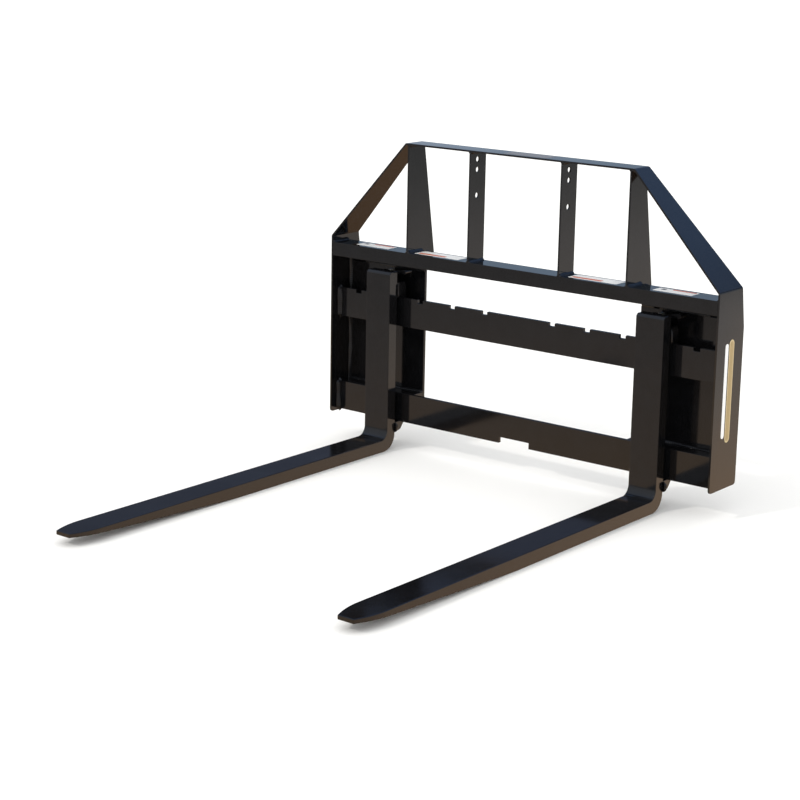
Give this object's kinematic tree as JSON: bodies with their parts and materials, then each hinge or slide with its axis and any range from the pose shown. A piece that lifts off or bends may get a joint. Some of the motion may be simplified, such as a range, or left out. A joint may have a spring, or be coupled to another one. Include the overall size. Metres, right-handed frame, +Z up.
{
  "type": "pallet fork attachment",
  "caption": "Skid-steer fork carriage with a bent-band load guard and hook-on forks that slide along notched bars and lock with lever-lifted spring pins.",
  "frame": {"origin": "on the floor under the middle of the whole attachment", "axes": "+X along the carriage bars, to the right seen from the fork tips; the forks point to -Y and the loader is at +Y; +Z up"},
  "size_m": [1.156, 1.227, 0.804],
  "materials": {
    "frame_paint": "gloss black powder coat",
    "fork_paint": "gloss black paint on forged steel",
    "plated_steel": "zinc plated",
    "spring_steel": "oiled spring wire"
  },
  "bodies": {
    "carriage_frame": {"guard_band": "frame_paint", "guard_bottom_rail": "frame_paint", "upper_carriage_bar": "frame_paint", "lower_carriage_bar": "frame_paint", "outer_upright_left": "frame_paint", "outer_upright_right": "frame_paint", "inner_upright_left": "frame_paint", "inner_upright_right": "frame_paint", "coupler_plate_left": "frame_paint", "coupler_plate_right": "frame_paint", "coupler_hook_lip_left": "frame_paint", "coupler_hook_lip_right": "frame_paint", "coupler_lock_lip_left": "frame_paint", "coupler_lock_lip_right": "frame_paint", "upper_spacer_left": "frame_paint", "upper_spacer_right": "frame_paint", "lower_spacer_left": "frame_paint", "lower_spacer_right": "frame_paint"},
    "fork_left": {"fork_arm_left": "fork_paint", "upper_hook_left": "fork_paint", "lower_hook_left": "fork_paint", "lever_pivot_left": "plated_steel", "pivot_clip_left": "plated_steel", "lock_spring_left": "spring_steel"},
    "lever_left": {"lock_lever_left": "fork_paint"},
    "pin_left": {"lock_pin_left": "plated_steel", "lock_pin_nut_left": "plated_steel"},
    "fork_right": {"fork_arm_right": "fork_paint", "upper_hook_right": "fork_paint", "lower_hook_right": "fork_paint", "lever_pivot_right": "plated_steel", "pivot_clip_right": "plated_steel", "lock_spring_right": "spring_steel"},
    "lever_right": {"lock_lever_right": "fork_paint"},
    "pin_right": {"lock_pin_right": "plated_steel", "lock_pin_nut_right": "plated_steel"}
  },
  "joints": [
    {"name": "fork_left_slide", "type": "slide", "parent": "carriage_frame", "child": "fork_left", "axis": [1, 0, 0], "range_m": [-0.1016, 0.3048]},
    {"name": "lever_left_turn", "type": "hinge", "parent": "fork_left", "child": "lever_left", "pos_m": [-0.4354, 0.5275, 0.456], "axis": [0, 1, 0], "range_deg": [0, 18.8]},
    {"name": "pin_left_drop", "type": "slide", "parent": "fork_left", "child": "pin_left", "axis": [0, 0, 1], "range_m": [-0.0096, 0], "deforming": ["lock_spring_left"]},
    {"name": "fork_right_slide", "type": "slide", "parent": "carriage_frame", "child": "fork_right", "axis": [1, 0, 0], "range_m": [-0.3048, 0.1016]},
    {"name": "lever_right_turn", "type": "hinge", "parent": "fork_right", "child": "lever_right", "pos_m": [0.3774, 0.5275, 0.456], "axis": [0, 1, 0], "range_deg": [0, 18.8]},
    {"name": "pin_right_drop", "type": "slide", "parent": "fork_right", "child": "pin_right", "axis": [0, 0, 1], "range_m": [-0.0096, 0], "deforming": ["lock_spring_right"]}
  ],
  "couplings": [
    {"joint": "pin_left_drop", "follows": "lever_left_turn", "m_per_rad": -0.02895},
    {"joint": "pin_right_drop", "follows": "lever_right_turn", "m_per_rad": -0.02895}
  ]
}
